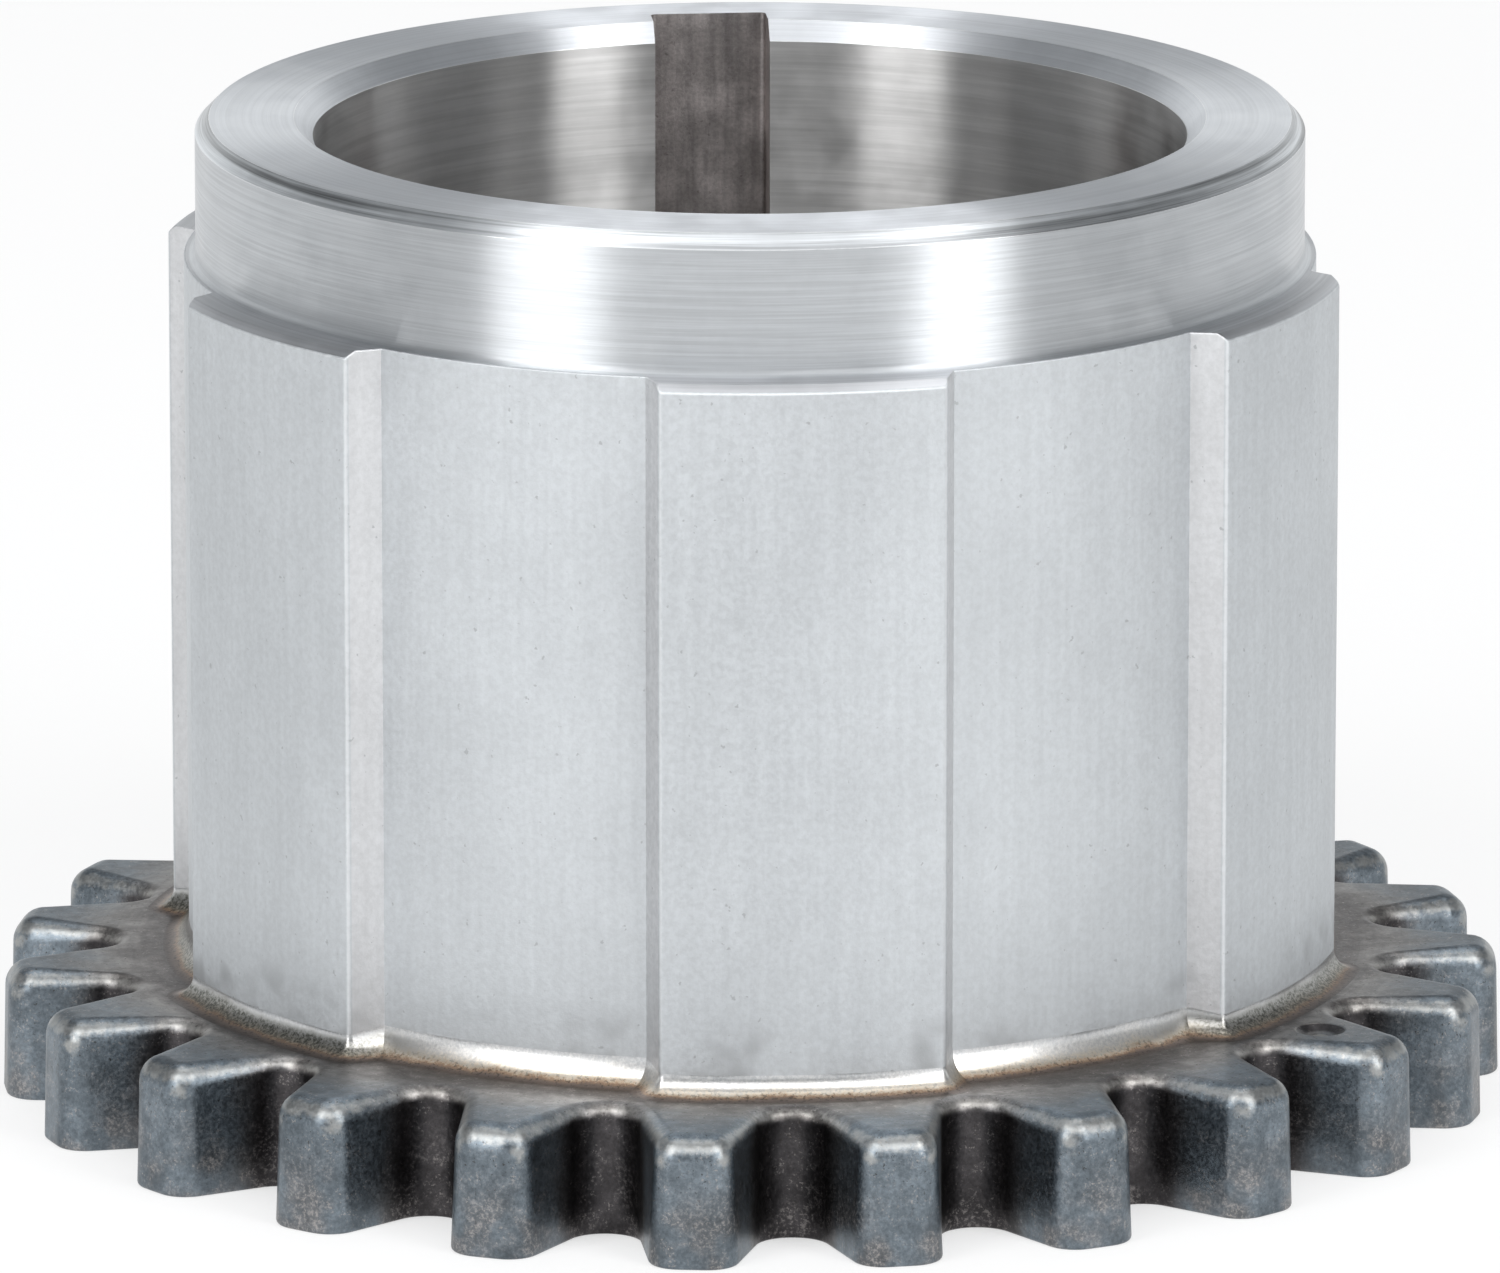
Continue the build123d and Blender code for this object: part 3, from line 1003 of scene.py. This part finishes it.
def satin_steel():
    """The barrel: a pale matt skin with faint upright streaks, pits and dark smudges low down.
    The lands' walls are a little paler, and worn edges are brighter."""
    material, tree, shader = new_steel("satin_steel")
    streaks = use(tree, "pulled_grain", Across=2.2, Along=0.1)["Shade"]
    speckle = use(tree, "speckle", Grain=3.6, Pits=3.0, Rarity=0.7)
    patches = use(tree, "cloud", Patches=0.12)["Shade"]
    smudges = use(tree, "cloud", Patches=0.33, Detail=2.0)["Shade"]
    worn = use(tree, "worn_edge", Start=0.55, Uneven=0.8)["Mask"]
    _, height = across_and_up(tree, place(tree))
    shade = product(
        tree,
        spread(tree, streaks, 0.975, 1.02),
        spread(tree, speckle["Shade"], 0.93, 1.06),
        spread(tree, patches, 0.96, 1.03),
    )
    base = tinted(tree, mixed(tree, mesh_mark(tree, "gap"), SATIN, WALL_STEEL), shade)
    base = mixed(tree, product(tree, speckle["Pit"], 0.7), base, PIT_GREY)
    low = product(tree, span(tree, height, *SMUDGE_HEIGHTS), span(tree, smudges, 0.48, 0.7), 0.8)
    base = mixed(tree, low, base, PIT_GREY)
    base = mixed(tree, product(tree, worn, 0.35), base, WORN_STEEL)
    roughness = spread(tree, speckle["Shade"], 0.54, 0.64)
    set_finish(tree, shader, base, roughness, speckle["Shade"], depth=0.012)
    return material


def heat_tinted_steel():
    """The barrel's foot, from pale steel through straw and brown to the rim's dark skin, with
    a painted dark reflection on its left and right sides."""
    material, tree, shader = new_steel("heat_tinted_steel")
    fine = use(tree, "speckle", Grain=7.0, Pits=6.0, Rarity=0.56)
    patches = use(tree, "cloud", Patches=0.5)["Shade"]
    reach = mesh_mark(tree, "gap")
    here = calculate(tree, "MULTIPLY_ADD", from_middle(tree, patches), 0.35, reach)
    broken = calculate(tree, "MULTIPLY_ADD", from_middle(tree, fine["Shade"]), 0.3, here)
    # A new ramp has a stop at each end. The first is used, and the last taken out.
    ramp = add_node(tree, "ShaderNodeValToRGB", {"Fac": broken})
    stops = ramp.color_ramp.elements
    for position, colour in HEAT_COLOURS:
        stop = stops[0] if position == 0 else stops.new(position)
        stop.color = (*colour, 1)
    stops.remove(stops[-1])
    shade = spread(tree, fine["Shade"], 0.86, 1.1)
    pits = product(tree, fine["Pit"], span(tree, here, 0.3, 0.6, 0.05, 0.6))
    base = mixed(tree, pits, tinted(tree, ramp.outputs["Color"], shade), SOOT)
    # Painted shade: a dark reflection painted on the pale upper part of the foot, at its left and
    # right sides
    across = separated(tree, place(tree))[0]
    painted_dark_sides = product(
        tree,
        span(tree, calculate(tree, "ABSOLUTE", across), *PAINTED_DARK_SIDES),
        span(tree, here, 0.0, 0.25),
        span(tree, here, 0.62, 0.46),
        span(tree, fine["Shade"], 0.35, 0.65, 0.5, 1.0),
    )
    base = mixed(tree, painted_dark_sides, base, PAINTED_DARK_GREEN)
    roughness = span(tree, here, 0.2, 0.8, 0.28, 0.38)
    set_finish(tree, shader, base, roughness, fine["Shade"], depth=0.008)
    return material


def oxide_steel():
    """The toothed rim: blue-grey oxide, made nearly black in the gaps and in the timing mark's ring
    by painted shade, brown beside the barrel, brown and rubbed in patches low on the teeth, and
    brighter along worn edges, which on the teeth are partly painted highlights."""
    material, tree, shader = new_steel("oxide_steel")
    fine = use(tree, "speckle", Grain=6.0, Pits=6.5, Rarity=0.65)
    coarse = use(tree, "speckle", Grain=1.6, Pits=9.0, Rarity=0.58)
    patches = use(tree, "cloud", Patches=0.45)["Shade"]
    stains = use(tree, "cloud", Patches=0.4, Detail=3.0)["Shade"]
    rings = use(tree, "turned_lines", Lines=2.5, Drift=0.06)["Shade"]
    worn = use(tree, "worn_edge", Start=0.56, Grain=2.0, Uneven=1.1)["Mask"]
    gap = mesh_mark(tree, "gap")
    radius, height = across_and_up(tree, place(tree))
    wandering = calculate(tree, "ADD", radius, spread(tree, patches, -RIM_WANDER, RIM_WANDER))
    near_barrel = span(tree, wandering, *GREY_RIM_RADII)
    low = span(tree, height, *LOW_TOOTH_HEIGHTS)
    shade = product(
        tree,
        spread(tree, patches, 0.76, 1.18),
        spread(tree, coarse["Shade"], 0.84, 1.16),
        spread(tree, fine["Shade"], 0.8, 1.16),
        calculate(tree, "MULTIPLY_ADD", from_middle(tree, rings), near_barrel, 1.0),
    )
    base = mixed(tree, near_barrel, OXIDE, RIM_GREY)
    base = mixed(tree, span(tree, wandering, *BROWN_RIM_RADII, 0.0, 0.9), base, TINT_BROWN)
    browned = product(tree, low, span(tree, stains, 0.4, 0.62, 0.0, 0.7))
    base = mixed(tree, browned, base, LOW_BROWN)
    # Painted shade: nearly black deep in the tooth gaps and in the timing mark's ring
    base = mixed(tree, span(tree, gap, 0.6, 1.0), base, GAP_PAINTED_SHADE)
    base = tinted(tree, base, shade)
    dark_pits = product(tree, fine["Pit"], span(tree, height, *PITTED_HEIGHTS, 0.2, 0.7))
    base = mixed(tree, dark_pits, base, SOOT)
    rubbed = product(tree, low, span(tree, stains, 0.46, 0.58), span(tree, fine["Shade"], 0.5, 0.66))
    flecks = product(tree, coarse["Pit"], span(tree, coarse["Shade"], 0.45, 0.65))
    rubbed = calculate(tree, "MAXIMUM", rubbed, flecks)
    rubbed = product(tree, rubbed, span(tree, gap, 0.4, 0.9, 0.6, 0.35))
    base = mixed(tree, rubbed, base, RUBBED_BROWN)
    # Paler along worn edges: on the teeth partly a painted highlight, in the timing mark's middle
    # only a painted highlight
    base = mixed(tree, product(tree, worn, 0.5), base, WORN_AND_HIGHLIT_OXIDE)
    roughness = spread(tree, fine["Shade"], 0.3, 0.44)
    set_finish(tree, shader, base, roughness, fine["Shade"], depth=0.01)
    return material


def slot_steel():
    """The broached keyway: brown-grey, with streaks along it."""
    material, tree, shader = new_steel("slot_steel")
    streaks = use(tree, "pulled_grain", Across=1.6, Along=0.1)["Shade"]
    fine = use(tree, "speckle", Grain=5.0, Pits=4.0, Rarity=0.68)
    patches = use(tree, "cloud", Patches=0.5)["Shade"]
    shade = product(
        tree,
        spread(tree, streaks, 0.8, 1.15),
        spread(tree, patches, 0.85, 1.1),
        spread(tree, fine["Shade"], 0.85, 1.12),
    )
    base = mixed(tree, product(tree, fine["Pit"], 0.3), tinted(tree, SLOT_BROWN, shade), SOOT)
    roughness = spread(tree, patches, 0.35, 0.5)
    set_finish(tree, shader, base, roughness, fine["Shade"], depth=0.012)
    return material


MATERIALS = {
    "face": turned_steel(
        "turned_face", BRIGHT, rough=0.38, lines=8.0, contrast=0.08, depth=0.003, anisotropy=0.94
    ),
    "chamfer": turned_steel(
        "turned_chamfer", CHAMFER_GREY, rough=0.36, lines=5.0, contrast=0.8, depth=0.012,
        anisotropy=0.94
    ),
    "collar": turned_steel(
        "turned_collar", COLLAR_GREY, rough=0.38, lines=24.0, contrast=0.12, depth=0.002,
        anisotropy=1.0, drift=0.12
    ),
    "shoulder": turned_steel(
        "turned_shoulder", SHOULDER_GREY, rough=0.4, lines=6.0, contrast=0.15, depth=0.006,
        anisotropy=0.8
    ),
    "barrel": satin_steel(),
    "foot": heat_tinted_steel(),
    "teeth": oxide_steel(),
    "bore": turned_steel(
        "turned_bore", BORE_GREY, rough=0.33, lines=9.0, contrast=0.14, depth=0.003,
        anisotropy=1.0, drift=0.1
    ),
    "keyway": slot_steel(),
}
for finish in FINISHES:
    mesh.materials.append(MATERIALS[finish])


# Floor, light and camera, with lengths in metres and angles in degrees

WHITE = (1.0, 1.0, 1.0)
PAPER = (0.95, 0.95, 0.95)
BACKDROP = (0.93, 0.95, 0.96)
ROOM_GREY = (0.30, 0.31, 0.32)
BACKDROP_TURN = (-0.3, 0.5)      # along Y, in a direction of length 1: from the room to the backdrop
OVERHEAD_RISE = (0.26, 0.44)     # along Z: from what is behind or in front to the grey overhead
HORIZON_RISE = (0.06, 0.14)      # along Z: from the pale horizon to the room
FLOOR_HALF = 3.0
FLOOR_GLOW = 0.7                 # how much of the floor away from the object is a plain white
SOFTBOX_DISTANCE = 0.9
SOFTBOX_AIM = 0.02               # the height that the softboxes point at
SOFTBOXES = {
    # azimuth and elevation from the object, width, height, and radiance
    "softbox_left": (-43, 30, 0.36, 0.9, 4.0),
    "softbox_right": (45, 30, 0.3, 0.9, 4.5),
    "softbox_above": (180, 80, 0.7, 0.7, 1.5),
    "softbox_front": (2, 42, 0.62, 0.5, 1.9),
}
CAMERA_AZIMUTH = -5.10
CAMERA_PITCH = 14.02
CAMERA_DISTANCE = 0.7429
CAMERA_AIM = 0.01891             # the height that it points at
CAMERA_CLIP = (0.05, 20)
PHOTO_WIDTH = 1500               # pixels
FOCAL_PIXELS = 17427
SENSOR = 36                      # millimetres


def direction_from(azimuth, elevation):
    """Towards a place seen from the object, with azimuth 0 at the camera's side."""
    turn, rise = radians(CAMERA_AZIMUTH + azimuth), radians(elevation)
    return Vector((sin(turn) * cos(rise), -cos(turn) * cos(rise), sin(rise)))


def place_facing(item, azimuth, elevation, distance, aim):
    """Puts a lamp or a camera into the scene, facing a height on the axis."""
    back = direction_from(azimuth, elevation)
    item.location = Vector((0, 0, aim)) + back * distance
    item.rotation_euler = back.to_track_quat("Z", "Y").to_euler()
    bpy.context.scene.collection.objects.link(item)


def add_floor():
    """A wide pale floor of lit paper, which keeps the shadow. To the eye and in the metal it
    turns mostly to a plain white from the bore out to the tips."""
    half = FLOOR_HALF
    floor_mesh = bpy.data.meshes.new("floor")
    corners = [(-half, -half, 0), (half, -half, 0), (half, half, 0), (-half, half, 0)]
    floor_mesh.from_pydata(corners, [], [(0, 1, 2, 3)])
    floor = bpy.data.objects.new("floor", floor_mesh)
    bpy.context.scene.collection.objects.link(floor)
    material = bpy.data.materials.new("pale_floor")
    material.use_nodes = True
    tree = material.node_tree
    tree.nodes.remove(tree.nodes["Principled BSDF"])
    paper = add_node(tree, "ShaderNodeBsdfDiffuse", {"Color": as_colour(PAPER)})
    glow = add_node(tree, "ShaderNodeEmission", {"Color": as_colour(WHITE), "Strength": 1.0})
    path = add_node(tree, "ShaderNodeLightPath").outputs
    seen = calculate(tree, "MAXIMUM", path["Is Camera Ray"], path["Is Glossy Ray"])
    seen = calculate(tree, "MAXIMUM", seen, path["Is Transmission Ray"])
    radius, _ = across_and_up(tree, place(tree))
    clear = span(tree, radius, BORE_RADIUS, TIP_RADIUS, 0.0, FLOOR_GLOW)
    inputs = {0: product(tree, seen, clear), 1: paper.outputs[0], 2: glow.outputs[0]}
    blend = add_node(tree, "ShaderNodeMixShader", inputs)
    tree.links.new(blend.outputs[0], tree.nodes["Material Output"].inputs["Surface"])
    floor_mesh.materials.append(material)


def add_softbox(name, azimuth, elevation, width, height, radiance):
    light = bpy.data.lights.new(name, "AREA")
    light.shape = "RECTANGLE"
    light.size, light.size_y = width, height
    light.energy = radiance * pi * width * height
    box = bpy.data.objects.new(name, light)
    place_facing(box, azimuth, elevation, SOFTBOX_DISTANCE, SOFTBOX_AIM)


def add_room():
    """A pale backdrop behind the object and low all round, and a dimmer room on the camera's side
    and overhead."""
    world = bpy.data.worlds.new("studio")
    world.use_nodes = True
    tree = world.node_tree
    _, back, up = separated(tree, add_node(tree, "ShaderNodeTexCoord").outputs["Generated"])
    room = mixed(tree, span(tree, back, *BACKDROP_TURN), ROOM_GREY, BACKDROP)
    sky = mixed(tree, span(tree, up, *OVERHEAD_RISE), room, ROOM_GREY)
    colour = mixed(tree, span(tree, up, *HORIZON_RISE), BACKDROP, sky)
    tree.links.new(colour, tree.nodes["Background"].inputs["Color"])
    bpy.context.scene.world = world


def add_camera():
    data = bpy.data.cameras.new("camera")
    data.sensor_width = SENSOR
    data.lens = FOCAL_PIXELS * SENSOR / PHOTO_WIDTH
    data.clip_start, data.clip_end = CAMERA_CLIP
    camera = bpy.data.objects.new("camera", data)
    place_facing(camera, 0, CAMERA_PITCH, CAMERA_DISTANCE, CAMERA_AIM)
    bpy.context.scene.camera = camera


add_floor()
for name, settings in SOFTBOXES.items():
    add_softbox(name, *settings)
add_room()
add_camera()
bpy.context.scene.view_settings.view_transform = "Standard"
